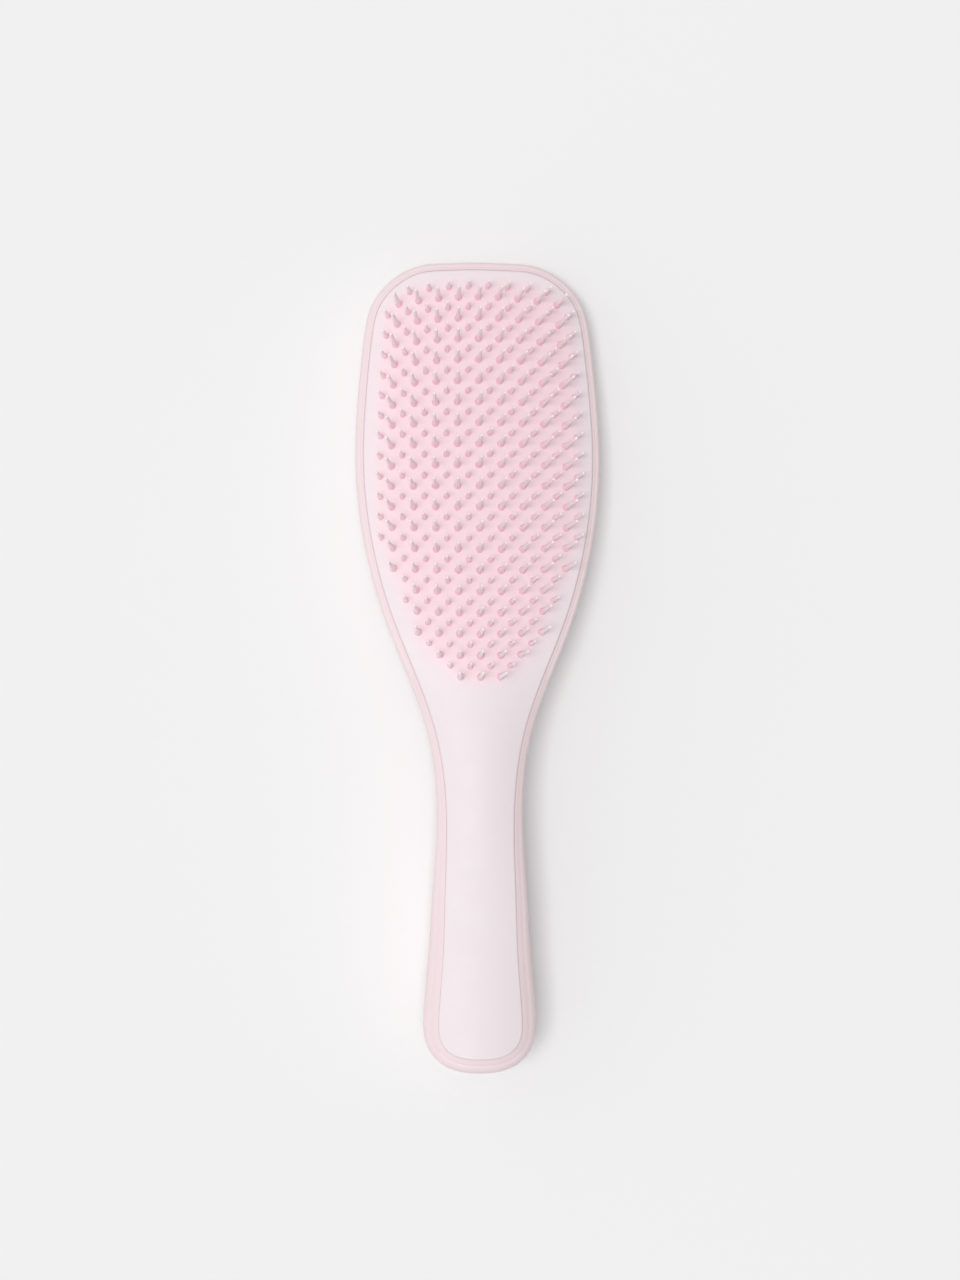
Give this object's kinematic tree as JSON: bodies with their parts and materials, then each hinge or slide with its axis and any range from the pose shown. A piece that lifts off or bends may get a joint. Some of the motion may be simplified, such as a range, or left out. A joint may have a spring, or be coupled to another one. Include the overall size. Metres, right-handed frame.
{
  "type": "detangling brush",
  "caption": "Long-handled detangling brush: a hollow head-and-handle shell closed by a flexible face panel with staggered long and short teeth.",
  "frame": {"origin": "on the resting plane, under the middle of the brush's length and width", "axes": "+Z out of the toothed face, +Y along the brush from the handle to the head tip, +X across the head, to the right when the teeth face the viewer and the head is up"},
  "size_m": [0.068, 0.224, 0.0383],
  "materials": {
    "shell": "satin moulded plastic",
    "panel": "fine matt moulded elastomer",
    "teeth": "satin moulded elastomer"
  },
  "bodies": {
    "root": {"back_shell": "shell", "tooth_panel": "panel", "long_tooth_row_01": "teeth", "long_tooth_row_02": "teeth", "long_tooth_row_03": "teeth", "long_tooth_row_04": "teeth", "long_tooth_row_05": "teeth", "long_tooth_row_06": "teeth", "long_tooth_row_07": "teeth", "long_tooth_row_08": "teeth", "long_tooth_row_09": "teeth", "long_tooth_row_10": "teeth", "long_tooth_row_11": "teeth", "long_tooth_row_12": "teeth", "long_tooth_row_13": "teeth", "long_tooth_row_14": "teeth", "long_tooth_row_15": "teeth", "long_tooth_row_16": "teeth", "long_tooth_row_17": "teeth", "long_tooth_row_18": "teeth", "long_tooth_row_19": "teeth", "short_tooth_row_01": "teeth", "short_tooth_row_02": "teeth", "short_tooth_row_03": "teeth", "short_tooth_row_04": "teeth", "short_tooth_row_05": "teeth", "short_tooth_row_06": "teeth", "short_tooth_row_07": "teeth", "short_tooth_row_08": "teeth", "short_tooth_row_09": "teeth", "short_tooth_row_10": "teeth", "short_tooth_row_11": "teeth", "short_tooth_row_12": "teeth", "short_tooth_row_13": "teeth", "short_tooth_row_14": "teeth", "short_tooth_row_15": "teeth", "short_tooth_row_16": "teeth", "short_tooth_row_17": "teeth", "short_tooth_row_18": "teeth", "short_tooth_row_19": "teeth"}
  },
  "joints": []
}
